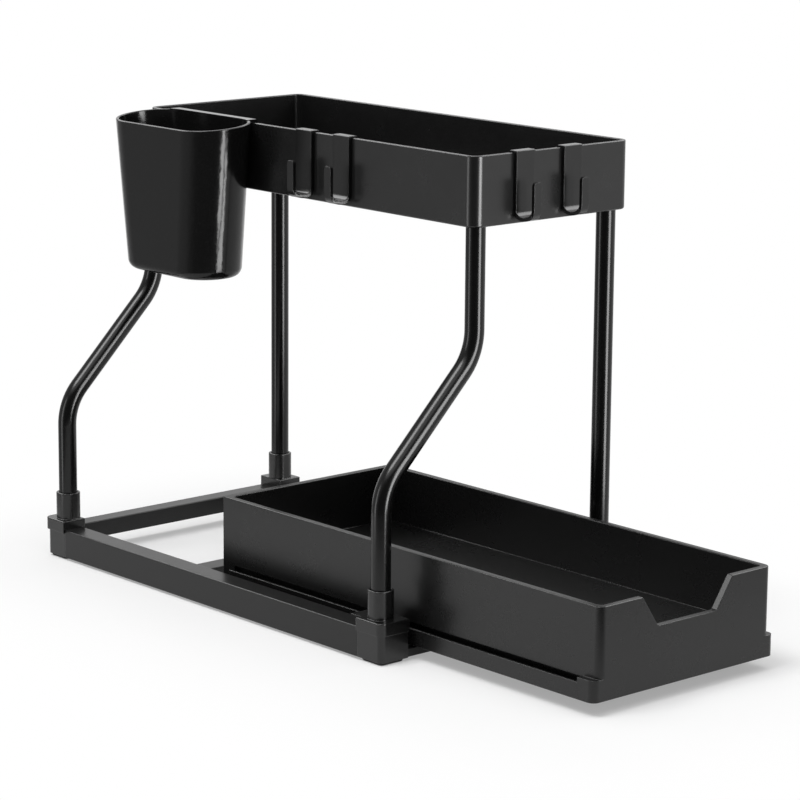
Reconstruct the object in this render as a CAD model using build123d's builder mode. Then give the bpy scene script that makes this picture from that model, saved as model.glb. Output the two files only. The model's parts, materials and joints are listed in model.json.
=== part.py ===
from build123d import *
import os
from math import tan, radians

os.makedirs("parts", exist_ok=True)

# Two-tier organizer for the space under a sink, in millimetres.
# +Z is up, +X is to the right, and the drawer pulls out towards -Y.
# The left posts lean in towards the middle, so that the top tray leaves room for the drain.

# Whole base, over the caps of its corners
base_width = 219.0

# Posts
post_inset = 11.5               # from the base's side to a post's axis
post_y = 170.0                  # from the middle to a post, front to back
tube_diameter = 13.0
tube_wall = 1.2
lean_in = 78.5                  # how far the leaning posts step in
lean_angle = 45.0
lower_bend_z = 112.0
bend_radius = 38.0

# Top tray
tray_bottom_z = 273.5
tray_height = 46.0
tray_left_inset = 11.0          # from the leaning post's axis to the tray's left face
tray_front_inset = 10.0         # from the front posts' axis to the tray's front face
tray_rear_gap = 9.0             # from the tray's rear face to the rear posts' axis
tray_wall = 2.6
tray_floor = 2.5
tray_corner = 7.6
tray_foot_round = 1.6
rim_round = 0.7
tray_socket_depth = 18.0
tray_socket_wall = 2.2
tray_socket_roof = 2.0

# Base frame
rail_width = 16.0
rail_top_z = 22.0
rail_bottom_z = 2.0
rail_shell = 2.5
rail_edge = 0.8
ledge_reach = 17.0              # how far the drawer ledge stands in from the rail
ledge_thickness = 3.6
rear_bar_width = 13.5
rear_bar_height = 12.0
low_bar_width = 16.5
low_bar_top_z = 8.2
low_bar_bottom_z = 2.6
middle_bar_y = 60.5
bar_edge = 0.8

# Corner blocks and sockets
block_end_reach = 12.0          # from the post's axis to the block's outer end
front_block_run = 11.0          # from the front post's axis back along the rail
rear_block_run = 9.5            # from the rear post's axis forward along the rail
front_block_width = 23.0
rear_block_width = 17.5
block_corner = 4.0
block_top_z = 19.9
block_tube_stop_z = 8.0
cap_height = 8.5
cap_overhang = 1.5
cap_corner = 5.0
cap_edge = 0.7
sleeve_side = 16.0
sleeve_corner = 6.8
sleeve_height = 19.0
sleeve_edge = 0.6
sleeve_mouth = 0.7
tube_slip = 0.05
tenon_length = 15.0
tenon_slip = 0.2
foot_pad_height = 2.0
foot_pad_inset = 1.5
foot_pad_corner = 3.0
foot_pad_edge = 0.6

# Plugs and screws under the posts
plug_length = 14.0
plug_slip = 0.05
screw_diameter = 4.0
screw_head_diameter = 7.5
screw_head_height = 2.4
screw_length = 15.0
screw_hole_slip = 0.15
screw_head_recess = 3.0
driver_slot_width = 1.1
driver_slot_depth = 1.2

# Drawer
drawer_side_gap = 15.8          # from the rail's inner face to the drawer's wall
drawer_length = 363.6
drawer_bottom_z = 9.5
drawer_top_z = 69.0
drawer_wall = 4.5
drawer_floor_top_z = 29.5
drawer_floor = 3.0
drawer_front_corner = 5.0
drawer_inner_corner = 3.0
drawer_edge = 0.7
skirt_wall = 2.5
groove_depth = 3.5              # how far the skirt is set in under the wall
groove_top_z = 22.6
lip_reach = 4.8                 # from the wall's face to the runner lip's face
lip_thickness = 1.8
lip_top_z = 20.3
runner_thickness = 2.0
bumper_length = 14.0
bumper_top_z = 23.5
rear_stop_length = 12.0
notch_top_width = 80.0
notch_bottom_width = 52.0
notch_depth = 20.5
notch_round = 2.5
rear_gap = 1.1                  # behind the closed drawer
pulled_out = 148.0              # how far the drawer stands open in the resting pose
running_gap = 0.3

# Guides that hold the drawer down
guide_length = 25.0
guide_web = 3.0
guide_top_z = 22.3
guide_grip = 2.2                # how far the finger reaches in under the drawer's wall

# Hanging cup
cup_width = 116.5
cup_depth = 53.6
cup_corner = 26.0
cup_height = 108.0
cup_wall = 2.2
cup_rim_slope = 4.8             # degrees that the rim falls away from the tray
cup_side_taper = 11.2
cup_front_taper = 2.9
cup_foot_round = 7.0
cup_rim_round = 0.6
cup_middle_y = 86.3             # along the tray's left wall, from the middle
clip_width = 86.0
clip_reach = 9.0                # how far the clip runs out over the cup's round corners
clip_thickness = 2.0
clip_drop = 16.0
clip_round = 1.2
hang_gap = 0.2

# Hooks
hook_width = 16.0
hook_sheet = 2.4
hook_saddle = 1.0               # thickness of the hook over the rim
hook_lip_sheet = 1.4
hook_gap = 9.4                  # clear space inside the curl
hook_drop = 44.0                # from the rim down to the lowest point of the curl
hook_tongue_height = 25.5
hook_tongue_width = 6.5
hook_tongue_round = 2.4
hook_lip_drop = 12.0
hook_round = 0.6
side_hook_places = (-14.5, -53.0)     # along the left wall, from the middle
front_hook_places = (-27.8, 14.8)     # along the front wall, from the tray's middle

cut_overrun = 5.0

# Places that follow from the sizes above
tube_radius = tube_diameter / 2
post_x = base_width / 2 - post_inset
rail_outer_x = base_width / 2 - cap_overhang
tray_right_x = base_width / 2
tray_top_z = tray_bottom_z + tray_height
lean_top_x = -post_x + lean_in
tray_left_x = lean_top_x - tray_left_inset
tray_width = tray_right_x - tray_left_x
tray_mid_x = (tray_right_x + tray_left_x) / 2
block_reach_y = post_y + block_end_reach
cap_reach_y = block_reach_y + cap_overhang
rail_inner_x = rail_outer_x - rail_width
cap_top_z = block_top_z + cap_height

drawer_half = rail_inner_x - drawer_side_gap
drawer_width = 2 * drawer_half
lip_outer_x = drawer_half + lip_reach
skirt_half = drawer_half - groove_depth
rear_bar_back = block_reach_y - cap_overhang / 2
rear_bar_front = rear_bar_back - rear_bar_width
drawer_rear_reach = rear_bar_front - rear_gap - pulled_out
drawer_front_reach = drawer_length - drawer_rear_reach

# The origin lies on the floor under the middle of the whole organizer, drawer out.
mid_y = (drawer_front_reach - cap_reach_y) / 2
tray_front_y = mid_y - post_y - tray_front_inset
tray_rear_y = mid_y + post_y - tray_rear_gap
tray_length = tray_rear_y - tray_front_y
tray_mid_y = (tray_rear_y + tray_front_y) / 2
drawer_front_y = mid_y - drawer_front_reach
drawer_rear_y = drawer_front_y + drawer_length
drawer_mid_y = (drawer_front_y + drawer_rear_y) / 2

# Each corner: its name, its side, its end, and its block's sizes
corners = [
    ("front_left", -1, -1, front_block_run, front_block_width),
    ("front_right", 1, -1, front_block_run, front_block_width),
    ("rear_left", -1, 1, rear_block_run, rear_block_width),
    ("rear_right", 1, 1, rear_block_run, rear_block_width),
]
rail_front_y = mid_y - post_y + front_block_run
rail_rear_y = mid_y + post_y - rear_block_run
rail_length = rail_rear_y - rail_front_y

# Side rails: a channel open below, with a ledge inside that carries the drawer
ledge_top_z = drawer_bottom_z - running_gap
for rail_name, side in (("left_rail", -1), ("right_rail", 1)):
    with BuildPart() as rail:
        with BuildSketch(Plane.XZ.offset(-rail_rear_y)):
            with BuildLine():
                Polyline(
                    (side * rail_outer_x, rail_bottom_z),
                    (side * rail_outer_x, rail_top_z),
                    (side * rail_inner_x, rail_top_z),
                    (side * rail_inner_x, ledge_top_z),
                    (side * (rail_inner_x - ledge_reach), ledge_top_z),
                    (side * (rail_inner_x - ledge_reach), ledge_top_z - ledge_thickness),
                    (side * rail_inner_x, ledge_top_z - ledge_thickness),
                    (side * rail_inner_x, rail_bottom_z),
                    (side * (rail_inner_x + rail_shell), rail_bottom_z),
                    (side * (rail_inner_x + rail_shell), rail_top_z - rail_shell),
                    (side * (rail_outer_x - rail_shell), rail_top_z - rail_shell),
                    (side * (rail_outer_x - rail_shell), rail_bottom_z),
                    close=True,
                )
            make_face()
        extrude(amount=rail_length)
        top_edges = rail.faces().sort_by(Axis.Z)[-1].edges().filter_by(Axis.Y)
        fillet(top_edges, rail_edge)
    rail.part.label = rail_name
    export_step(rail.part, f"parts/{rail_name}.step")

# Cross bars
with BuildPart() as rear_bar:
    with BuildSketch(Plane.XY.offset(rail_top_z)):
        with Locations((0, mid_y + (rear_bar_front + rear_bar_back) / 2)):
            Rectangle(2 * (rail_outer_x - rear_block_width), rear_bar_width)
    extrude(amount=-rear_bar_height)
    fillet(rear_bar.faces().sort_by(Axis.Z)[-1].edges().filter_by(Axis.X), bar_edge)
rear_bar.part.label = "rear_bar"
export_step(rear_bar.part, "parts/rear_bar.step")

low_bars = [
    ("middle_bar", mid_y + middle_bar_y, rail_inner_x - ledge_reach),
    ("front_bar", mid_y - block_reach_y + low_bar_width / 2, rail_outer_x - front_block_width),
]
for bar_name, bar_y, half_span in low_bars:
    with BuildPart() as low_bar:
        with BuildSketch(Plane.XY.offset(low_bar_bottom_z)):
            with Locations((0, bar_y)):
                Rectangle(2 * half_span, low_bar_width)
        extrude(amount=low_bar_top_z - low_bar_bottom_z)
        fillet(low_bar.faces().sort_by(Axis.Z)[-1].edges().filter_by(Axis.X), bar_edge)
    low_bar.part.label = bar_name
    export_step(low_bar.part, f"parts/{bar_name}.step")

# Corner blocks: each holds the foot of a post and a tenon that slides into its rail
for corner_name, side, end, run, width in corners:
    axis_x = side * post_x
    axis_y = mid_y + end * post_y
    outer_y = mid_y + end * block_reach_y
    inner_y = axis_y - end * run
    block_x = side * (rail_outer_x - width / 2)
    block_y = (outer_y + inner_y) / 2
    block_length = block_end_reach + run
    with BuildPart() as block:
        with BuildSketch(Plane.XY.offset(foot_pad_height)):
            with Locations((block_x, block_y)):
                Rectangle(width, block_length)
        extrude(amount=block_top_z - foot_pad_height)
        uprights = block.edges().filter_by(Axis.Z).group_by(Axis.Y)[0 if end < 0 else -1]
        fillet(uprights.sort_by(Axis.X)[0 if side < 0 else -1], block_corner)
        with BuildSketch(Plane.XZ.offset(-inner_y)):
            with Locations((side * (rail_outer_x - rail_width / 2), (rail_bottom_z + rail_top_z - rail_shell) / 2)):
                Rectangle(
                    rail_width - 2 * (rail_shell + tenon_slip),
                    rail_top_z - rail_shell - rail_bottom_z - 2 * tenon_slip,
                )
        extrude(amount=end * tenon_length)
        with BuildSketch(Plane.XY.offset(block_tube_stop_z)):
            with Locations((axis_x, axis_y)):
                Circle(tube_radius + tube_slip)
        extrude(amount=block_top_z - block_tube_stop_z, mode=Mode.SUBTRACT)
        with BuildSketch(Plane.XY.offset(foot_pad_height)):
            with Locations((axis_x, axis_y)):
                Circle(screw_diameter / 2 + screw_hole_slip)
        extrude(amount=block_tube_stop_z - foot_pad_height, mode=Mode.SUBTRACT)
        with BuildSketch(Plane.XY.offset(foot_pad_height)):
            with Locations((axis_x, axis_y)):
                Circle(screw_head_diameter / 2 + screw_hole_slip)
        extrude(amount=screw_head_recess, mode=Mode.SUBTRACT)
    block.part.label = f"{corner_name}_corner"
    export_step(block.part, f"parts/{corner_name}_corner.step")

# Sockets: a cap over each corner block with a sleeve round the post
for corner_name, side, end, run, width in corners:
    axis_x = side * post_x
    axis_y = mid_y + end * post_y
    outer_y = mid_y + end * cap_reach_y
    inner_y = axis_y - end * run
    with BuildPart() as socket:
        with BuildSketch(Plane.XY.offset(block_top_z)):
            with Locations((side * (rail_outer_x + (cap_overhang - width) / 2), (outer_y + inner_y) / 2)):
                Rectangle(width + cap_overhang, block_end_reach + cap_overhang + run)
        extrude(amount=cap_height)
        uprights = socket.edges().filter_by(Axis.Z).group_by(Axis.Y)[0 if end < 0 else -1]
        fillet(uprights.sort_by(Axis.X)[0 if side < 0 else -1], cap_corner)
        fillet(socket.faces().sort_by(Axis.Z)[-1].edges(), cap_edge)
        with BuildSketch(Plane.XY.offset(cap_top_z)):
            with Locations((axis_x, axis_y)):
                RectangleRounded(sleeve_side, sleeve_side, sleeve_corner)
        extrude(amount=sleeve_height)
        fillet(socket.faces().sort_by(Axis.Z)[-1].edges(), sleeve_edge)
        with BuildSketch(Plane.XY.offset(block_top_z)):
            with Locations((axis_x, axis_y)):
                Circle(tube_radius + tube_slip)
        extrude(amount=cap_height + sleeve_height, mode=Mode.SUBTRACT)
        mouth = socket.faces().sort_by(Axis.Z)[-1].edges().filter_by(GeomType.CIRCLE)
        chamfer(mouth.filter_by(lambda edge: edge.radius < tube_radius + sleeve_mouth), sleeve_mouth)
    socket.part.label = f"{corner_name}_socket"
    export_step(socket.part, f"parts/{corner_name}_socket.step")

# Foot pads under the corner blocks
with BuildPart() as foot_pads:
    for corner_name, side, end, run, width in corners:
        pad_y = mid_y + end * (post_y + (block_end_reach - run) / 2)
        with BuildSketch(Plane.XY):
            with Locations((side * (rail_outer_x - width / 2), pad_y)):
                RectangleRounded(
                    width - 2 * foot_pad_inset,
                    block_end_reach + run - 2 * foot_pad_inset,
                    foot_pad_corner,
                )
        extrude(amount=foot_pad_height)
    chamfer(foot_pads.faces().group_by(Axis.Z)[0].edges(), foot_pad_edge)
foot_pads.part.label = "foot_pads"
export_step(foot_pads.part, "parts/foot_pads.step")

# Posts: two stand straight, and two step in at an angle
tube_top_z = tray_bottom_z + tray_socket_depth
upper_bend_z = lower_bend_z + lean_in * tan(radians(lean_angle))
for corner_name, side, end, run, width in corners:
    post_place_y = mid_y + end * post_y
    foot_place = (side * post_x, post_place_y, block_tube_stop_z)
    with BuildPart() as post:
        with BuildLine() as post_path:
            if side < 0:
                FilletPolyline(
                    foot_place,
                    (-post_x, post_place_y, lower_bend_z),
                    (lean_top_x, post_place_y, upper_bend_z),
                    (lean_top_x, post_place_y, tube_top_z),
                    radius=bend_radius,
                )
            else:
                Line(foot_place, (post_x, post_place_y, tube_top_z))
        with BuildSketch(Plane.XY.offset(block_tube_stop_z)):
            with Locations((side * post_x, post_place_y)):
                Circle(tube_radius)
                Circle(tube_radius - tube_wall, mode=Mode.SUBTRACT)
        sweep(path=post_path.wires()[0])
    post.part.label = f"{corner_name}_post"
    export_step(post.part, f"parts/{corner_name}_post.step")

# Plugs in the feet of the posts, and the screws that pull the posts down into the blocks
with BuildPart() as tube_plugs:
    for corner_name, side, end, run, width in corners:
        with BuildSketch(Plane.XY.offset(block_tube_stop_z)):
            with Locations((side * post_x, mid_y + end * post_y)):
                Circle(tube_radius - tube_wall - plug_slip)
                Circle(screw_diameter / 2 + plug_slip, mode=Mode.SUBTRACT)
        extrude(amount=plug_length)
tube_plugs.part.label = "tube_plugs"
export_step(tube_plugs.part, "parts/tube_plugs.step")

screw_seat_z = foot_pad_height + screw_head_recess
with BuildPart() as post_screws:
    for corner_name, side, end, run, width in corners:
        with BuildSketch(Plane.XY.offset(screw_seat_z - screw_head_height)):
            with Locations((side * post_x, mid_y + end * post_y)):
                Circle(screw_head_diameter / 2)
        extrude(amount=screw_head_height)
        with BuildSketch(Plane.XY.offset(screw_seat_z)):
            with Locations((side * post_x, mid_y + end * post_y)):
                Circle(screw_diameter / 2)
        extrude(amount=screw_length)
        with BuildSketch(Plane.XY.offset(screw_seat_z - screw_head_height)):
            with Locations((side * post_x, mid_y + end * post_y)):
                Rectangle(screw_head_diameter, driver_slot_width)
        extrude(amount=driver_slot_depth, mode=Mode.SUBTRACT)
post_screws.part.label = "post_screws"
export_step(post_screws.part, "parts/post_screws.step")

# Top tray, with a socket for the head of each post: the front ones stand inside its corners,
# and the rear ones stand out behind its rear wall
boss_radius = tube_radius + tube_slip + tray_socket_wall
boss_height = tray_socket_depth + tray_socket_roof
with BuildPart() as top_tray:
    with BuildSketch(Plane.XY.offset(tray_bottom_z)):
        with Locations((tray_mid_x, tray_mid_y)):
            RectangleRounded(tray_width, tray_length, tray_corner)
    extrude(amount=tray_height)
    fillet(top_tray.faces().sort_by(Axis.Z)[0].edges(), tray_foot_round)
    with BuildSketch(Plane.XY.offset(tray_bottom_z + tray_floor)):
        with Locations((tray_mid_x, tray_mid_y)):
            RectangleRounded(tray_width - 2 * tray_wall, tray_length - 2 * tray_wall, tray_corner - tray_wall)
    extrude(amount=tray_height, mode=Mode.SUBTRACT)
    fillet(top_tray.faces().sort_by(Axis.Z)[-1].edges(), rim_round)
    for head_x in (lean_top_x, post_x):
        for end in (-1, 1):
            head_y = mid_y + end * post_y
            with BuildSketch(Plane.XY.offset(tray_bottom_z)):
                with Locations((head_x, head_y)):
                    Circle(boss_radius)
                if end > 0:
                    with Locations((head_x, (head_y + tray_rear_y - tray_wall / 2) / 2)):
                        Rectangle(2 * boss_radius, head_y - tray_rear_y + tray_wall / 2)
            extrude(amount=boss_height)
    for head_x in (lean_top_x, post_x):
        for end in (-1, 1):
            with BuildSketch(Plane.XY.offset(tray_bottom_z)):
                with Locations((head_x, mid_y + end * post_y)):
                    Circle(tube_radius + tube_slip)
            extrude(amount=tray_socket_depth, mode=Mode.SUBTRACT)
top_tray.part.label = "top_tray"
export_step(top_tray.part, "parts/top_tray.step")

# Drawer: an open box on a skirt, with a runner lip along each side
drawer_height = drawer_top_z - drawer_bottom_z
with BuildPart() as drawer:
    with BuildSketch(Plane.XY.offset(groove_top_z)):
        with Locations((0, drawer_mid_y)):
            box_outline = Rectangle(drawer_width, drawer_length)
        fillet(box_outline.vertices().group_by(Axis.Y)[0], drawer_front_corner)
    extrude(amount=drawer_top_z - groove_top_z)
    with BuildSketch(Plane.XY.offset(drawer_bottom_z)):
        with Locations((0, drawer_mid_y)):
            Rectangle(2 * skirt_half, drawer_length)
        with Locations((0, drawer_rear_y - rear_stop_length / 2)):
            Rectangle(drawer_width, rear_stop_length)
    extrude(amount=groove_top_z - drawer_bottom_z)
    lip_length = drawer_length - rear_stop_length
    lip_mid_y = drawer_front_y + lip_length / 2
    with BuildSketch(Plane.XY.offset(drawer_bottom_z)):
        with Locations((0, lip_mid_y)):
            runner_outline = Rectangle(2 * lip_outer_x, lip_length)
        fillet(runner_outline.vertices().group_by(Axis.Y)[0], drawer_front_corner)
    extrude(amount=runner_thickness)
    for side in (-1, 1):
        with BuildSketch(Plane.XY.offset(drawer_bottom_z)):
            with Locations((side * (lip_outer_x - lip_thickness / 2), lip_mid_y + drawer_front_corner / 2)):
                Rectangle(lip_thickness, lip_length - drawer_front_corner)
        extrude(amount=lip_top_z - drawer_bottom_z)
    with BuildSketch(Plane.XY.offset(drawer_bottom_z)):
        with Locations((0, drawer_front_y + bumper_length / 2)):
            bumper_outline = Rectangle(2 * lip_outer_x, bumper_length)
        fillet(bumper_outline.vertices().group_by(Axis.Y)[0], drawer_front_corner)
    extrude(amount=bumper_top_z - drawer_bottom_z)
    with BuildSketch(Plane.XY.offset(drawer_floor_top_z)):
        with Locations((0, drawer_mid_y)):
            RectangleRounded(drawer_width - 2 * drawer_wall, drawer_length - 2 * drawer_wall, drawer_inner_corner)
    extrude(amount=drawer_height, mode=Mode.SUBTRACT)
    with BuildSketch(Plane.XY.offset(drawer_bottom_z)):
        with Locations((0, drawer_mid_y)):
            Rectangle(2 * (skirt_half - skirt_wall), drawer_length - 2 * drawer_wall)
    extrude(amount=drawer_floor_top_z - drawer_floor - drawer_bottom_z, mode=Mode.SUBTRACT)
    notch_lean = (notch_top_width - notch_bottom_width) / 2
    overrun_lean = notch_lean * cut_overrun / notch_depth
    with BuildSketch(Plane.XZ.offset(-drawer_front_y + cut_overrun)) as notch:
        with BuildLine():
            Polyline(
                (-notch_top_width / 2 - overrun_lean, drawer_top_z + cut_overrun),
                (-notch_bottom_width / 2, drawer_top_z - notch_depth),
                (notch_bottom_width / 2, drawer_top_z - notch_depth),
                (notch_top_width / 2 + overrun_lean, drawer_top_z + cut_overrun),
                close=True,
            )
        make_face()
        fillet(notch.vertices().group_by(Axis.Y)[0], notch_round)
    extrude(amount=-(cut_overrun + 2 * drawer_wall), mode=Mode.SUBTRACT)
    rim_face = drawer.faces().filter_by(Axis.Z).sort_by(Axis.Z)[-1]
    fillet(rim_face.edges(), drawer_edge)
drawer.part.label = "drawer"
export_step(drawer.part, "parts/drawer.step")

# Guides on the rails: a finger of each lies over the runner lip, and stops the drawer's end
guide_finger_x = drawer_half - guide_grip
guide_bottom_z = lip_top_z + running_gap
guide_y = rail_front_y + guide_length / 2
for guide_name, side in (("left_drawer_guide", -1), ("right_drawer_guide", 1)):
    with BuildPart() as guide:
        with BuildSketch(Plane.XY.offset(guide_bottom_z)):
            with Locations((side * (rail_inner_x + guide_finger_x) / 2, guide_y)):
                Rectangle(rail_inner_x - guide_finger_x, guide_length)
        extrude(amount=guide_top_z - guide_bottom_z)
        with BuildSketch(Plane.XY.offset(ledge_top_z)):
            with Locations((side * (rail_inner_x - guide_web / 2), guide_y)):
                Rectangle(guide_web, guide_length)
        extrude(amount=guide_bottom_z - ledge_top_z)
    guide.part.label = guide_name
    export_step(guide.part, f"parts/{guide_name}.step")

# Hanging cup: tapered, with round ends and a rim that falls away from the tray
cup_back_x = tray_left_x - hang_gap
cup_y = mid_y + cup_middle_y
cup_top_z = tray_top_z + hang_gap + clip_thickness
cup_bottom_z = cup_top_z - cup_height
clip_inner_x = tray_left_x + tray_wall + hang_gap + clip_thickness
clip_outer_x = cup_back_x - clip_reach
with BuildPart() as hanging_cup:
    for inset, foot_z, foot_round, loft_mode in (
        (0, cup_bottom_z, cup_foot_round, Mode.ADD),
        (cup_wall, cup_bottom_z + cup_wall, cup_foot_round - cup_wall, Mode.SUBTRACT),
    ):
        for level_z, depth, width, corner in (
            (cup_top_z, cup_depth, cup_width, cup_corner),
            (foot_z, cup_depth - cup_front_taper, cup_width - 2 * cup_side_taper, cup_corner - cup_front_taper / 2),
        ):
            with BuildSketch(Plane.XY.offset(level_z)):
                with Locations((cup_back_x - depth / 2, cup_y)):
                    RectangleRounded(depth - 2 * inset, width - 2 * inset, corner - inset)
        loft(mode=loft_mode)
        foot_face = hanging_cup.faces().filter_by(Axis.Z).group_by(Axis.Z)[0 if inset == 0 else 1]
        fillet(foot_face.edges(), foot_round)
    with BuildSketch(Plane.XZ.offset(-cup_y)):
        with BuildLine():
            Polyline(
                (cup_back_x, cup_top_z),
                (cup_back_x - 2 * cup_depth, cup_top_z - 2 * cup_depth * tan(radians(cup_rim_slope))),
                (cup_back_x - 2 * cup_depth, cup_top_z + cut_overrun),
                (cup_back_x, cup_top_z + cut_overrun),
                close=True,
            )
        make_face()
    extrude(amount=cup_width, both=True, mode=Mode.SUBTRACT)
    fillet(hanging_cup.faces().sort_by(Axis.Z)[-1].edges(), cup_rim_round)
    with BuildSketch(Plane.XY.offset(cup_top_z - clip_thickness)):
        with Locations(((clip_outer_x + clip_inner_x) / 2, cup_y)):
            Rectangle(clip_inner_x - clip_outer_x, clip_width)
        with Locations((cup_back_x - cup_depth / 2, cup_y)):
            RectangleRounded(
                cup_depth - 2 * cup_wall, cup_width - 2 * cup_wall, cup_corner - cup_wall, mode=Mode.SUBTRACT
            )
    extrude(amount=clip_thickness)
    with BuildSketch(Plane.XY.offset(tray_top_z - clip_drop)):
        with Locations((clip_inner_x - clip_thickness / 2, cup_y)):
            Rectangle(clip_thickness, clip_width)
    extrude(amount=clip_drop + hang_gap + clip_thickness)
    clip_ends = hanging_cup.edges().filter_by(Axis.Y).group_by(Axis.X)[-1]
    fillet(clip_ends.sort_by(Axis.Z)[-1], clip_round)
hanging_cup.part.label = "hanging_cup"
export_step(hanging_cup.part, "parts/hanging_cup.step")

# Hooks: one shape, drawn for a wall whose outer face is at x = 0 and whose rim is at z = 0
strap_out_x = -hang_gap - hook_sheet
tongue_in_x = strap_out_x - hook_gap
tongue_out_x = tongue_in_x - hook_sheet
curl_radius = hook_gap / 2
curl_x = strap_out_x - curl_radius
curl_z = hook_sheet + curl_radius - hook_drop
tongue_top_z = hook_tongue_height - hook_drop
strap_top_z = hang_gap + hook_saddle
lip_in_x = tray_wall + hang_gap
with BuildPart() as hook:
    with BuildSketch(Plane.XZ):
        with Locations((curl_x, curl_z)):
            Circle(curl_radius + hook_sheet)
            Circle(curl_radius, mode=Mode.SUBTRACT)
        with Locations((curl_x, curl_z + hook_gap)):
            Rectangle(2 * hook_gap, 2 * hook_gap, mode=Mode.SUBTRACT)
        with Locations((strap_out_x, curl_z)):
            Rectangle(hook_sheet, strap_top_z - curl_z, align=(Align.MIN, Align.MIN))
        with Locations((tongue_out_x, curl_z)):
            Rectangle(hook_sheet, tongue_top_z - curl_z, align=(Align.MIN, Align.MIN))
        with Locations((strap_out_x, hang_gap)):
            Rectangle(lip_in_x + hook_lip_sheet - strap_out_x, hook_saddle, align=(Align.MIN, Align.MIN))
        with Locations((lip_in_x, -hook_lip_drop)):
            Rectangle(hook_lip_sheet, hook_lip_drop + strap_top_z, align=(Align.MIN, Align.MIN))
    extrude(amount=hook_width / 2, both=True)
    for side in (-1, 1):
        with BuildSketch(Plane.XY.offset(-hook_drop - cut_overrun)):
            with BuildLine():
                Polyline(
                    (strap_out_x, side * hook_width / 2),
                    (tongue_in_x, side * hook_tongue_width / 2),
                    (tongue_out_x - cut_overrun, side * hook_tongue_width / 2),
                    (tongue_out_x - cut_overrun, side * (hook_width / 2 + cut_overrun)),
                    (strap_out_x, side * (hook_width / 2 + cut_overrun)),
                    close=True,
                )
            make_face()
        extrude(amount=hook_tongue_height + 2 * cut_overrun, mode=Mode.SUBTRACT)
    tongue_corners = hook.edges().filter_by(Axis.X).group_by(Axis.Z)[0]
    fillet(tongue_corners, hook_tongue_round)
    strap_corners = hook.edges().filter_by(Axis.Y).group_by(Axis.Z)[-1]
    fillet(strap_corners, hook_round)

hook_places = [
    ("rear_side_hook", tray_left_x, mid_y + side_hook_places[0], 0),
    ("front_side_hook", tray_left_x, mid_y + side_hook_places[1], 0),
    ("left_front_hook", tray_mid_x + front_hook_places[0], tray_front_y, 90),
    ("right_front_hook", tray_mid_x + front_hook_places[1], tray_front_y, 90),
]
for hook_name, hook_x, hook_y, turn in hook_places:
    with BuildPart() as hung_hook:
        with Locations(Location((hook_x, hook_y, tray_top_z), (0, 0, turn))):
            add(hook.part)
    hung_hook.part.label = hook_name
    export_step(hung_hook.part, f"parts/{hook_name}.step")
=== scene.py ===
# %% [markdown]
# # A two-tier organizer for the space under a sink
#
# The organizer is plain black: moulded plastic trays, a drawer, a cup and hooks, on steel tubes with a
# powder coat. Black has almost no colour to show, so the looks come from how each finish reflects the
# room: the soft edges, the fine grain of the mould, and the long highlights on the tubes and the cup.
# This file loads the solid model, gives every piece its finish, adds the small moulded details and sets
# up a white studio.

# %% Load the solid model
import json
from math import cos, pi, radians, sin

import bmesh
import bpy
from mathutils import Matrix, Vector

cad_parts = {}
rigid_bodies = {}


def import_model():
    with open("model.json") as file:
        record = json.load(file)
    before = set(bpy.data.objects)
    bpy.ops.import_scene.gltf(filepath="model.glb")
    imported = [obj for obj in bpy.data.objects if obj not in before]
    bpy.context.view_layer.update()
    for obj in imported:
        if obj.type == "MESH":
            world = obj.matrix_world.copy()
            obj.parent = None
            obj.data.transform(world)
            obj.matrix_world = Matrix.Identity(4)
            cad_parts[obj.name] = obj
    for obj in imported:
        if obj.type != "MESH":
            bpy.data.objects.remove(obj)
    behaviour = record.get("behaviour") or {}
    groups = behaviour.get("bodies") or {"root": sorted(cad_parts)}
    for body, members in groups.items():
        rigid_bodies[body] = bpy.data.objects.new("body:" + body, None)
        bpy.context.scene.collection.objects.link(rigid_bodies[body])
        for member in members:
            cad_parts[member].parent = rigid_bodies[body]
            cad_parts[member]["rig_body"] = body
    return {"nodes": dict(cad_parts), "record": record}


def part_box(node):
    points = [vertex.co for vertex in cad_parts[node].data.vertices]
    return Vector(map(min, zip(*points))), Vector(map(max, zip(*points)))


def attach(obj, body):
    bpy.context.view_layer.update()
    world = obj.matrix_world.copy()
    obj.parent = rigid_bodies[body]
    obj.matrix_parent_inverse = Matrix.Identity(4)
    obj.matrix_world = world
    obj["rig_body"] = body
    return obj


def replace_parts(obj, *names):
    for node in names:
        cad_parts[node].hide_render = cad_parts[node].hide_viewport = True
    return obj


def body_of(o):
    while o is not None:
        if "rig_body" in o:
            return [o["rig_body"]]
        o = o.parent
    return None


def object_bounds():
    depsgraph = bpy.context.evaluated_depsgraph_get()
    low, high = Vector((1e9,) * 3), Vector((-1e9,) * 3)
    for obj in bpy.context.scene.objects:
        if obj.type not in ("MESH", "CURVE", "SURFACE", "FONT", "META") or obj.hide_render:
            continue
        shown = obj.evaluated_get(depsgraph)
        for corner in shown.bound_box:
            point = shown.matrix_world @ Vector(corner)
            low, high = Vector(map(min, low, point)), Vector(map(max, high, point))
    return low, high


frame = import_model()
solid_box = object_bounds()
nodes = frame["nodes"]
mm = 0.001

# %% [markdown]
# ## The camera
#
# The photograph is taken from the front left, a little above, with a long lens: the long edges hardly
# converge. The place and the angles below were found by laying the solid model's edges over the
# photograph. A camera looks along its own -Z with +Y up, so its matrix is made of the directions that are
# right, up and back.

# %% Set the camera
camera_place = Vector((-1.363, -1.530, 0.579))
heading = radians(41.62)          # turned from +Y towards +X
dip = radians(12.03)              # below level
roll = radians(0.48)
photo_width_px = 800
focal_length_px = 3120
film_width_mm = 36

forward = Vector((sin(heading) * cos(dip), cos(heading) * cos(dip), -sin(dip)))
level_right = Vector((cos(heading), -sin(heading), 0))
level_up = level_right.cross(forward)
right = level_right * cos(roll) + level_up * sin(roll)
up = level_up * cos(roll) - level_right * sin(roll)

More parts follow.
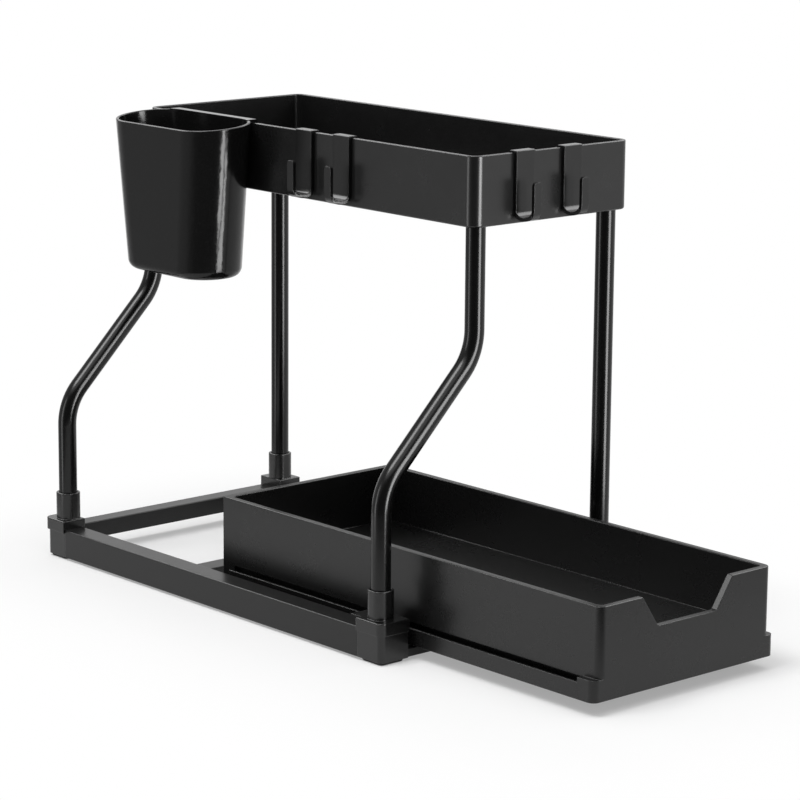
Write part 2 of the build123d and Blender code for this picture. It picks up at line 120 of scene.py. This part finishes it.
lens = bpy.data.cameras.new("camera")
lens.sensor_fit = "HORIZONTAL"
lens.sensor_width = film_width_mm
lens.lens = film_width_mm * focal_length_px / photo_width_px
lens.clip_end = 100
camera = bpy.data.objects.new("camera", lens)
turned = Matrix((right, up, -forward)).transposed().to_4x4()
camera.matrix_world = Matrix.Translation(camera_place) @ turned
bpy.context.scene.collection.objects.link(camera)
bpy.context.scene.camera = camera
print("lens:", round(lens.lens, 1), "mm")

# %% [markdown]
# ## Maths on sockets
#
# A finish is a sum of small effects: a noise, a mask, a little more roughness where the mask is high.
# Written as nodes and links, one line of maths takes five lines of code. The class below wraps a socket
# and gives it Python's own operators, so that a finish reads as a formula. Its method `make` adds any
# other node.

# %% Wrap a socket
class Wire:
    """A node's output socket, on which Python's operators add Math nodes."""

    def __init__(self, tree, socket):
        self.tree = tree
        self.socket = socket

    def make(self, kind, settings=None, output=0, **inputs):
        """Add a node with its settings and the values or links of its sockets.

        A space in a socket's name is written as _, and i0, i1 and so on stand for sockets by their place.
        """
        node = self.tree.nodes.new(kind)
        for name, value in (settings or {}).items():
            setattr(node, name, value)
        for name, value in inputs.items():
            place = int(name[1:]) if name[1:].isdigit() else name.replace("_", " ")
            if isinstance(value, Wire):
                self.tree.links.new(value.socket, node.inputs[place])
            else:
                node.inputs[place].default_value = value
        return Wire(self.tree, node.outputs[output])

    def math(self, operation, first, second=0.0):
        return self.make("ShaderNodeMath", {"operation": operation}, i0=first, i1=second)

    def __add__(self, other):
        return self.math("ADD", self, other)

    def __sub__(self, other):
        return self.math("SUBTRACT", self, other)

    def __rsub__(self, other):
        return self.math("SUBTRACT", other, self)

    def __mul__(self, other):
        return self.math("MULTIPLY", self, other)

    def __pow__(self, other):
        return self.math("POWER", self, other)

    __radd__ = __add__
    __rmul__ = __mul__

    def clamped(self):
        return self.make("ShaderNodeClamp", Value=self)

    def stretched(self, low, high, to_low=0.0, to_high=1.0):
        """Map the span from low to high smoothly on to another span."""
        return self.make(
            "ShaderNodeMapRange",
            {"interpolation_type": "SMOOTHSTEP"},
            Value=self,
            From_Min=low,
            From_Max=high,
            To_Min=to_low,
            To_Max=to_high,
        )

    def noise(self, size, detail=2.0, roughness=0.5):
        """Noise on this vector, with lumps about as wide as size, in metres."""
        return self.make(
            "ShaderNodeTexNoise", Vector=self, Scale=1 / size, Detail=detail, Roughness=roughness
        )

    def dot(self, other):
        return self.make("ShaderNodeVectorMath", {"operation": "DOT_PRODUCT"}, "Value", i0=self, i1=other)


# %% Start a finish
def new_finish(name):
    """A new material with an empty Principled shader, its object coordinates and its shader node."""
    finish = bpy.data.materials.new(name)
    finish.use_nodes = True
    tree = finish.node_tree
    shader = tree.nodes["Principled BSDF"]
    coordinates = Wire(tree, tree.nodes.new("ShaderNodeTexCoord").outputs["Object"])
    return finish, shader, coordinates


def feed(shader, **wires):
    """Link wires to the shader's sockets of the same names."""
    for name, wire in wires.items():
        wire.tree.links.new(wire.socket, shader.inputs[name.replace("_", " ")])


def grey(wire):
    """Turn a number into a neutral colour."""
    return wire.make("ShaderNodeCombineColor", Red=wire, Green=wire, Blue=wire)


# %% [markdown]
# ## Moulded plastic
#
# The trays, the drawer and the base are moulded in black plastic, and the mould's walls are etched to a
# fine satin grain. Close up it is a field of tiny pits. From a step away only its sheen shows, and that
# sheen is never quite even: the plastic flows and cools differently over a large wall. So the finish has
# noise in three sizes, with a few pale specks of dust. Its corners are rounded in the shading by a Bevel
# node, where they catch the light as thin bright lines. The same Bevel node shows where an edge is: edges
# are a little smoother than the walls, and their colour is painted greyer, partly as rubbed wear and
# partly as a painted highlight.
#
# How strongly a black plastic mirrors the room is set by its refraction, called gloss here, and how
# sharply by its roughness. The trays, the frame and the small pieces differ a little in both.

# %% Moulded plastic
def moulded_plastic(name, tone, gloss, sheen_roughness, grain_size, grain_height, edge_radius, edge_wear_and_highlight):
    """Black moulded plastic.

    The tone is its grey, gloss its refraction, and edge_wear_and_highlight says how much lighter its edges
    are painted, as wear and as a painted highlight.
    """
    finish, shader, place = new_finish(name)
    rounded = place.make("ShaderNodeBevel", {"samples": 6}, Radius=edge_radius)
    flat = place.make("ShaderNodeNewGeometry", output="True Normal")
    edge = (1 - rounded.dot(flat)).stretched(0.01, 0.22)

    flow = place.noise(45 * mm, detail=3)
    cloud = place.noise(9 * mm, detail=3)
    grain = place.noise(grain_size, detail=1)
    speck = place.noise(0.9 * mm, detail=1).stretched(0.62, 0.72)

    # The edges' colour is painted lighter: partly wear, partly a painted highlight.
    shade = tone * (0.94 + 0.12 * flow) + 0.004 * speck + edge_wear_and_highlight * edge * cloud
    uneven = sheen_roughness + 0.07 * (flow - 0.5) + 0.05 * (cloud - 0.5) - 0.05 * edge
    feed(shader, Base_Color=grey(shade), Roughness=uneven)
    bump = place.make("ShaderNodeBump", Strength=0.35, Distance=grain_height, Height=grain, Normal=rounded)
    feed(shader, Normal=bump)
    shader.inputs["IOR"].default_value = gloss
    return finish


moulded = {
    # slot: tone, gloss, sheen roughness, grain size and height in mm, edge radius in mm, edge wear and
    # painted highlight
    "frame_plastic": (0.005, 1.4, 0.32, 0.45, 0.03, 0.8, 0.03),
    "corner_plastic": (0.005, 1.5, 0.25, 0.4, 0.015, 0.7, 0.03),
    "tray_plastic": (0.008, 1.5, 0.26, 0.4, 0.02, 0.6, 0.03),
    "drawer_plastic": (0.006, 1.44, 0.28, 0.45, 0.015, 0.7, 0.03),
    "hook_plastic": (0.004, 1.5, 0.23, 0.4, 0.012, 0.6, 0.03),
    "plug_plastic": (0.02, 1.5, 0.45, 0.5, 0.02, 0.3, 0.01),
}
finishes = {}
for slot_name, (tone, gloss, sheen, grain_mm, height_mm, edge_mm, edge_wear_and_highlight) in moulded.items():
    title = slot_name.replace("_", " ")
    finishes[slot_name] = moulded_plastic(
        title, tone, gloss, sheen, grain_mm * mm, height_mm * mm, edge_mm * mm, edge_wear_and_highlight
    )

# %% [markdown]
# ## The cup's polished plastic
#
# The cup is smoother than the rest: one clear highlight runs down its corner. It is the same black
# plastic from a polished mould, so it has hardly any grain, a faint pull along its height and a little
# dust.

# %% Polished plastic
def polished_plastic(name, tone, gloss, sheen_roughness):
    """Black plastic from a polished mould; the arguments mean what they do above."""
    finish, shader, place = new_finish(name)
    pulled = place.make("ShaderNodeMapping", Vector=place, Scale=(1.0, 1.0, 0.12))
    streak = pulled.noise(3 * mm, detail=3)
    cloud = place.noise(30 * mm, detail=3)
    dust = place.noise(0.7 * mm, detail=1).stretched(0.66, 0.74)
    feed(
        shader,
        Base_Color=grey(tone * (0.95 + 0.1 * cloud) + 0.01 * dust),
        Roughness=sheen_roughness + 0.04 * (streak - 0.5) + 0.05 * (cloud - 0.5) + 0.06 * dust,
        Normal=place.make("ShaderNodeBump", Strength=0.12, Distance=0.02 * mm, Height=streak),
    )
    shader.inputs["IOR"].default_value = gloss
    return finish


finishes["cup_plastic"] = polished_plastic("cup plastic", tone=0.007, gloss=1.38, sheen_roughness=0.14)

# %% [markdown]
# ## Powder-coated tube
#
# The posts are steel tube with a smooth black powder coat. Powder melts into a skin that is never flat:
# it has the soft waves called orange peel, between 2 and 3 mm across. They break up the edges of the long
# highlights.

# %% Powder coat
def powder_coat(name, tone, gloss, sheen_roughness):
    """A smooth black coat with orange peel."""
    finish, shader, place = new_finish(name)
    peel = place.noise(2.6 * mm, detail=1)
    fine = place.noise(0.5 * mm, detail=1)
    cloud = place.noise(40 * mm, detail=2)
    skin = place.make("ShaderNodeBump", Strength=0.1, Distance=0.01 * mm, Height=peel + 0.1 * fine)
    feed(
        shader,
        Base_Color=grey(tone * (0.95 + 0.1 * cloud)),
        Roughness=sheen_roughness + 0.05 * (cloud - 0.5) + 0.04 * (fine - 0.5),
        Normal=skin,
    )
    shader.inputs["IOR"].default_value = gloss
    return finish


finishes["tube_steel"] = powder_coat("tube powder coat", tone=0.003, gloss=1.4, sheen_roughness=0.2)

# %% [markdown]
# ## Rubber, and zinc-plated screws
#
# The feet stand on soft pads and the posts are pulled down by screws. Rubber is matt and slightly dusty.
# Zinc plate is a soft grey metal with a faint crystal pattern, so a Voronoi texture shifts its roughness
# from cell to cell.

# %% Rubber and zinc
def soft_rubber(name, tone):
    """Matt, slightly dusty rubber."""
    finish, shader, place = new_finish(name)
    cloud = place.noise(6 * mm, detail=4)
    pits = place.noise(0.6 * mm, detail=2)
    feed(
        shader,
        Base_Color=grey(tone * (0.85 + 0.3 * cloud)),
        Roughness=0.78 + 0.12 * (cloud - 0.5),
        Normal=place.make("ShaderNodeBump", Strength=0.5, Distance=0.05 * mm, Height=pits),
    )
    return finish


def zinc_plate(name, tone):
    """Soft grey metal whose roughness changes from crystal to crystal."""
    finish, shader, place = new_finish(name)
    cell = place.make("ShaderNodeTexVoronoi", output="Distance", Vector=place, Scale=1 / (0.8 * mm))
    haze = place.noise(2 * mm, detail=3)
    feed(shader, Base_Color=grey(tone * (0.9 + 0.2 * haze)), Roughness=0.3 + 0.15 * cell + 0.1 * haze)
    shader.inputs["Metallic"].default_value = 1.0
    return finish


finishes["foot_rubber"] = soft_rubber("pad rubber", tone=0.02)
finishes["screw_steel"] = zinc_plate("screw zinc", tone=0.55)
print("finishes:", sorted(finishes))

# %% [markdown]
# ## Dress the solid pieces
#
# The solid model already has the right shapes and sizes. Its meshes are loose triangles, though, so a
# round face would show its facets in a glossy black finish. Each piece is therefore shown by a copy: its
# triangles are joined, those that lie in one plane become one face, and edges sharper than 30 degrees are
# marked sharp. The normals are worked out again before the angles are measured, because joining the
# triangles leaves old ones behind. The Weighted Normal modifier then lets the large faces set the
# direction of the shading, so that flat faces stay flat and round ones turn smooth. Each copy gets the
# finish that belongs to its material in the record.

# %% Join a piece's triangles
sharp_from = radians(30)
flat_within = radians(0.3)
same_corner = 0.002 * mm


def smooth_copy(name):
    """A copy of a solid piece whose round faces are shaded smooth."""
    solid = nodes[name]
    mesh = solid.data.copy()
    joined = bmesh.new()
    joined.from_mesh(mesh)
    bmesh.ops.remove_doubles(joined, verts=joined.verts, dist=same_corner)
    bmesh.ops.dissolve_limit(joined, angle_limit=flat_within, verts=joined.verts, edges=joined.edges)
    joined.normal_update()
    for face in joined.faces:
        face.smooth = True
    for edge in joined.edges:
        edge.smooth = edge.calc_face_angle(pi) < sharp_from
    joined.to_mesh(mesh)
    joined.free()
    mesh.update()
    piece = bpy.data.objects.new(name + "_smooth", mesh)
    bpy.context.scene.collection.objects.link(piece)
    weighted = piece.modifiers.new("weighted", "WEIGHTED_NORMAL")
    weighted.keep_sharp = True
    weighted.weight = 100
    weighted.mode = "FACE_AREA_WITH_ANGLE"
    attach(piece, body_of(solid)[0])
    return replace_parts(piece, name)


# %% Give each piece its finish
for entry in frame["record"]["subparts"]:
    piece = smooth_copy(entry["node"])
    piece.data.materials.clear()
    piece.data.materials.append(finishes[entry["material_slot"]])

# %% [markdown]
# ## Ribs under the floors
#
# Thin moulded floors are stiffened by ribs on their hidden side, and the pins that push the part out of
# its mould leave round marks between them. All of these are one shape, a flat pad with rounded corners,
# repeated on a grid, so one Geometry Nodes tree makes them. The pad's outline is filled, its face turned
# to look down, and a copy pushed up into the floor closes it. The same tree also makes the cross ribs
# inside the rails, which are open below.

# %% A grid of moulded pads
pad_inputs = {
    "Pad Size": "NodeSocketVector",
    "Corner Radius": "NodeSocketFloat",
    "Field Size": "NodeSocketVector",
    "Columns": "NodeSocketInt",
    "Rows": "NodeSocketInt",
    "Middle": "NodeSocketVector",
    "Finish": "NodeSocketMaterial",
}
pad_tree = bpy.data.node_groups.new("moulded pads", "GeometryNodeTree")
pad_sockets = {
    name: pad_tree.interface.new_socket(name, in_out="INPUT", socket_type=kind)
    for name, kind in pad_inputs.items()
}
pad_tree.interface.new_socket("Geometry", in_out="OUTPUT", socket_type="NodeSocketGeometry")
given = pad_tree.nodes.new("NodeGroupInput")
asked = {name: Wire(pad_tree, given.outputs[name]) for name in pad_inputs}


def part_of(vector, axis):
    """One coordinate of a vector."""
    return vector.make("ShaderNodeSeparateXYZ", output=axis, Vector=vector)


pad_x, pad_y, pad_z = (part_of(asked["Pad Size"], axis) for axis in range(3))
field_x, field_y = (part_of(asked["Field Size"], axis) for axis in range(2))
square = pad_x.make("GeometryNodeCurvePrimitiveQuadrilateral", Width=pad_x, Height=pad_y)
outline = square.make(
    "GeometryNodeFilletCurve",
    {"mode": "POLY"},
    Curve=square,
    Count=6,
    Radius=asked["Corner Radius"],
    Limit_Radius=True,
)
plate = outline.make("GeometryNodeFillCurve", {"mode": "NGONS"}, Curve=outline)
raised = plate.make("GeometryNodeExtrudeMesh", Mesh=plate, Offset_Scale=pad_z)
underside = plate.make("GeometryNodeFlipFaces", Mesh=plate)
halves = pad_tree.nodes.new("GeometryNodeJoinGeometry")
for half in (underside, raised):
    pad_tree.links.new(half.socket, halves.inputs["Geometry"])
both_halves = Wire(pad_tree, halves.outputs[0])
merge_within = 0.001 * mm
closed = plate.make("GeometryNodeMergeByDistance", Geometry=both_halves, Distance=merge_within)
grid = field_x.make(
    "GeometryNodeMeshGrid",
    Size_X=field_x,
    Size_Y=field_y,
    Vertices_X=asked["Columns"],
    Vertices_Y=asked["Rows"],
)
placed = grid.make("GeometryNodeInstanceOnPoints", Points=grid, Instance=closed)
moved = placed.make("GeometryNodeTransform", Geometry=placed, Translation=asked["Middle"])
realized = moved.make("GeometryNodeRealizeInstances", Geometry=moved)
finished = realized.make("GeometryNodeSetMaterial", Geometry=realized, Material=asked["Finish"])
result = pad_tree.nodes.new("NodeGroupOutput")
pad_tree.links.new(finished.socket, result.inputs["Geometry"])


def moulded_pads(name, host, slot, pad_size, corner_radius, field_size, columns, rows, middle):
    """A field of pads on the body of the host node, in the finish of the slot."""
    asked_for = {
        "Pad Size": pad_size,
        "Corner Radius": corner_radius,
        "Field Size": field_size,
        "Columns": columns,
        "Rows": rows,
        "Middle": middle,
        "Finish": finishes[slot],
    }
    piece = bpy.data.objects.new(name, bpy.data.meshes.new(name))
    bpy.context.scene.collection.objects.link(piece)
    modifier = piece.modifiers.new("pads", "NODES")
    modifier.node_group = pad_tree
    for label, value in asked_for.items():
        modifier[pad_sockets[label].identifier] = value
    shaped = piece.evaluated_get(bpy.context.evaluated_depsgraph_get())
    mesh = bpy.data.meshes.new_from_object(shaped)
    piece.modifiers.clear()
    piece.data = mesh
    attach(piece, body_of(nodes[host])[0])
    return piece


# %% Ribs of the drawer, the tray and the rails
rib = 1.4 * mm              # thickness of a rib
rooted = 0.3 * mm           # how far a rib reaches into the floor that carries it
pin_mark = 6 * mm
pin_height = 0.25 * mm

drawer_low, drawer_high = (Vector(corner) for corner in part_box("drawer"))
drawer_floor_z = 26.5 * mm
drawer_rib_height = 1.5 * mm
skirt_inset = 10.5 * mm     # from the runner lip's face to the skirt's inner face
end_inset = 4.2 * mm        # from the drawer's front or rear to the skirt's inner face
drawer_middle = (drawer_low + drawer_high) / 2
drawer_inside_x = drawer_high.x - drawer_low.x - 2 * skirt_inset
drawer_inside_y = drawer_high.y - drawer_low.y - 2 * end_inset
drawer_rows = 8
drawer_pitch = drawer_inside_y / drawer_rows

tray_low, tray_high = (Vector(corner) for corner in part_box("top_tray"))
tray_rib_height = 1.0 * mm
tray_inset = 10 * mm
tray_front_space = 28 * mm  # keeps clear of the front posts
tray_rear_space = 30 * mm   # keeps clear of the rear posts' sockets
tray_inside_x = tray_high.x - tray_low.x - 2 * tray_inset
tray_inside_y = tray_high.y - tray_low.y - tray_front_space - tray_rear_space
tray_middle = Vector(
    (
        (tray_low.x + tray_high.x) / 2,
        (tray_low.y + tray_front_space + tray_high.y - tray_rear_space) / 2,
    )
)
tray_rows = 7
tray_pitch = tray_inside_y / (tray_rows - 1)


def rib_field(host, slot, floor_z, height, middle, inside, rows, pitch):
    """Cross ribs, three long ribs and pin marks under one floor."""
    wide, long = inside
    rise = height + rooted
    lowest = (middle.x, middle.y, floor_z - height)
    across = (wide, rib, rise)
    along = (rib, long, rise)
    cross_field = (0, pitch * (rows - 1), 0)
    long_field = (wide * 2 / 3, 0, 0)
    moulded_pads(host + "_cross_ribs", host, slot, across, rib / 3, cross_field, 1, rows, lowest)
    moulded_pads(host + "_long_ribs", host, slot, along, rib / 3, long_field, 3, 1, lowest)
    moulded_pads(
        host + "_pin_marks",
        host,
        slot,
        (pin_mark, pin_mark, pin_height + rooted),
        pin_mark / 2,
        (wide / 3, pitch * (rows - 2), 0),
        2,
        rows - 1,
        (middle.x, middle.y, floor_z - pin_height),
    )


rib_field(
    "drawer",
    "drawer_plastic",
    drawer_floor_z,
    drawer_rib_height,
    drawer_middle,
    (drawer_inside_x, drawer_inside_y),
    drawer_rows,
    drawer_pitch,
)
rib_field(
    "top_tray",
    "tray_plastic",
    tray_low.z,
    tray_rib_height,
    tray_middle,
    (tray_inside_x, tray_inside_y),
    tray_rows,
    tray_pitch,
)

rail_outer_width = 16 * mm
rail_wall = 2.5 * mm
rail_roof_z = 19.5 * mm
rail_rib_height = 6 * mm
rail_end_space = 22 * mm    # keeps clear of the corner blocks' tenons
rail_rows = 10
for host, side in (("left_rail", -1), ("right_rail", 1)):
    rail_low, rail_high = (Vector(corner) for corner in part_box(host))
    outer_x = max(abs(rail_low.x), abs(rail_high.x))
    moulded_pads(
        host + "_ribs",
        host,
        "frame_plastic",
        (rail_outer_width - 2 * rail_wall + 2 * rooted, rib, rail_rib_height + rooted),
        rooted,
        (0, rail_high.y - rail_low.y - 2 * rail_end_space, 0),
        1,
        rail_rows,
        (
            side * (outer_x - rail_outer_width / 2),
            (rail_low.y + rail_high.y) / 2,
            rail_roof_z - rail_rib_height,
        ),
    )
print("ribs made")

# %% [markdown]
# ## The studio
#
# The photograph has a white ground with a soft grey shadow and no horizon. The organizer stands on a pale
# round table that catches the shadow. For rays that come straight from the camera, or by way of a
# reflection, the table also glows, which lifts it to white where nothing shades it and keeps the core of
# the shadow from going dark. Away from the organizer it fades to the plain white that the camera sees
# past the table, so its edge doesn't show.
#
# A black object shows the room that it mirrors. So for reflections the room has its own levels: a darker
# wall on the camera's left, a brighter one on its right and a dark space behind the camera, as the greys
# of the photographed walls ask for. Two suns with wide discs stand for large soft boxes: one overhead
# lights the table evenly, and one high on the left gives the shadow its direction.

# %% Table and room
table_radius = 0.43
table_sides = 128
table_mesh = bpy.data.meshes.new("table")
rim_angles = [2 * pi * side / table_sides for side in range(table_sides)]
rim_points = [(table_radius * cos(angle), table_radius * sin(angle), 0) for angle in rim_angles]
table_mesh.from_pydata(rim_points, [], [range(table_sides)])
table = bpy.data.objects.new("table", table_mesh)
bpy.context.scene.collection.objects.link(table)

table_tone = 0.58
lift = 0.34
fade_from = 0.03            # metres from the organizer's box where the table starts to fade
fade_to = 0.17              # and where it is plain white
paper = bpy.data.materials.new("studio paper")
paper.use_nodes = True
paper_tree = paper.node_tree
paper_tree.nodes.clear()
ray = paper_tree.nodes.new("ShaderNodeLightPath")
camera_ray = Wire(paper_tree, ray.outputs["Is Camera Ray"])
glossy_ray = Wire(paper_tree, ray.outputs["Is Glossy Ray"])
clear_ray = Wire(paper_tree, ray.outputs["Is Transmission Ray"])
seen = (camera_ray + glossy_ray + clear_ray).clamped()
pale = seen.make("ShaderNodeBsdfDiffuse", Color=(table_tone, table_tone, table_tone, 1))
glow = seen.make("ShaderNodeEmission", Strength=lift * seen)
both = seen.make("ShaderNodeAddShader", i0=pale, i1=glow)
white = seen.make("ShaderNodeEmission", Strength=1.0)
paper_place = Wire(paper_tree, paper_tree.nodes.new("ShaderNodeTexCoord").outputs["Object"])
beside = []
for axis in range(2):
    box_middle = (solid_box[0][axis] + solid_box[1][axis]) / 2
    box_half = (solid_box[1][axis] - solid_box[0][axis]) / 2
    off_middle = part_of(paper_place, axis) - box_middle
    past_side = off_middle.math("ABSOLUTE", off_middle) - box_half
    beside.append(past_side.math("MAXIMUM", past_side, 0.0))
away = (beside[0] * beside[0] + beside[1] * beside[1]) ** 0.5
fade = away.stretched(fade_from, fade_to) * camera_ray
seen_paper = seen.make("ShaderNodeMixShader", i0=fade, i1=both, i2=white)
surface = paper_tree.nodes.new("ShaderNodeOutputMaterial")
paper_tree.links.new(seen_paper.socket, surface.inputs["Surface"])
table_mesh.materials.append(paper)

room_level = 0.36           # the level that lights matt surfaces
left_level = 0.46           # the other three are seen in reflections only
right_level = 0.84
dark_front = 0.1
to_viewer = (-sin(heading), -cos(heading), 0)
to_right = (cos(heading), -sin(heading), 0)
world = bpy.data.worlds.new("studio")
bpy.context.scene.world = world
world.use_nodes = True
world_tree = world.node_tree
backdrop = world_tree.nodes["Background"]
backdrop.inputs["Color"].default_value = (1, 1, 1, 1)
world_ray = world_tree.nodes.new("ShaderNodeLightPath")
to_camera = Wire(world_tree, world_ray.outputs["Is Camera Ray"])
to_gloss = Wire(world_tree, world_ray.outputs["Is Glossy Ray"])
to_clear = Wire(world_tree, world_ray.outputs["Is Transmission Ray"])
way = Wire(world_tree, world_tree.nodes.new("ShaderNodeTexCoord").outputs["Generated"])
mirrored = (to_gloss + to_clear).clamped()
walls = way.dot(to_right).stretched(-0.9, 0.9, left_level, right_level)
front = way.dot(to_viewer).stretched(0.4, 0.85)
mirrored_room = walls * (1 - front) + dark_front * front
room = room_level * (1 - mirrored) + mirrored_room * mirrored
world_tree.links.new((room * (1 - to_camera) + to_camera).socket, backdrop.inputs["Strength"])


def sun(name, degrees_left, degrees_up, spread, energy):
    """A wide lamp far away; its place is given as seen from the organizer, to the left of the camera."""
    turn = heading + pi + radians(degrees_left)
    rise = radians(degrees_up)
    aim = Vector((sin(turn) * cos(rise), cos(turn) * cos(rise), sin(rise)))
    lamp = bpy.data.lights.new(name, "SUN")
    lamp.energy = energy
    lamp.angle = radians(spread)
    stand = bpy.data.objects.new(name, lamp)
    stand.rotation_euler = aim.to_track_quat("Z", "Y").to_euler()
    bpy.context.scene.collection.objects.link(stand)


sun("soft box overhead", degrees_left=20, degrees_up=78, spread=75, energy=1.3)
sun("key soft box", degrees_left=58, degrees_up=63, spread=24, energy=1.3)

# %% [markdown]
# ## Lamps for the reflections
#
# Two streaks run down each tube, one on its left and one on its right. A streak on a round tube stands
# halfway between the camera's direction and the lamp's, so one lamp stands far to the right of the camera
# and the other far to its left. The camera looks down, so an upright tube mirrors what lies below level:
# both lamps reach as far below the table's top as above it. The right one also draws the bright line on
# the cup's corner.
#
# A wide, dim lamp behind the organizer brightens the flat tops of the rails and the bars. The edges
# between the tops and the outer walls mirror the room higher up and behind: two wide, low lamps hang
# there and draw the thin bright lines. None of these lamps lights matt surfaces, so they add nothing to
# the shadow. Some pieces would mirror a lamp that the photograph's pieces don't, and these are kept out
# of its light, as a photographer does with a black flag.

# %% Soft boxes, and flags that shade pieces from them
def soft_box(name, degrees_right, degrees_up, distance, width, height, radiance):
    """A lamp for reflections, facing the organizer; its angles are counted from the camera's direction."""
    turn = heading + pi - radians(degrees_right)
    rise = radians(degrees_up)
    aim = Vector((sin(turn) * cos(rise), cos(turn) * cos(rise), sin(rise)))
    lamp = bpy.data.lights.new(name, "AREA")
    lamp.shape = "RECTANGLE"
    lamp.size = width
    lamp.size_y = height
    lamp.energy = radiance * pi * width * height
    stand = bpy.data.objects.new(name, lamp)
    stand.visible_diffuse = False
    stand.location = aim * distance
    stand.rotation_euler = aim.to_track_quat("Z", "Y").to_euler()
    bpy.context.scene.collection.objects.link(stand)
    return stand


def flag(stand, names):
    """Keep a lamp off some pieces, as a photographer does with a black flag."""
    shaded = bpy.data.collections.new(stand.name + " flagged")
    stand.light_linking.receiver_collection = shaded
    for place, name in enumerate(names):
        shaded.objects.link(bpy.data.objects[name + "_smooth"])
        shaded.collection_objects[place].light_linking.link_state = "EXCLUDE"


leaning_posts = ["front_left_post", "rear_left_post"]
soft_boxes = (
    # name, degrees right, degrees up, distance, width, height, radiance, flagged pieces
    ("right strip", 51, 0, 2.2, 0.85, 2.4, 12.5, ["drawer"]),
    ("left panel", -72, 0, 2.2, 0.6, 2.4, 3.0, ["hanging_cup"]),
    ("back wall", 180, 0, 3.0, 4.0, 2.4, 0.4, ["drawer"]),
    ("left edge light", -123, 41, 2.5, 2.6, 1.0, 5.0, leaning_posts),
    ("right edge light", 114, 41, 2.5, 2.6, 1.0, 5.0, leaning_posts),
)
for *placing, flagged in soft_boxes:
    flag(soft_box(*placing), flagged)
print("lamps:", len(soft_boxes))

# %% [markdown]
# ## View colours
#
# Standard view colours keep black black.

# %% Finish
bpy.context.scene.view_settings.view_transform = "Standard"
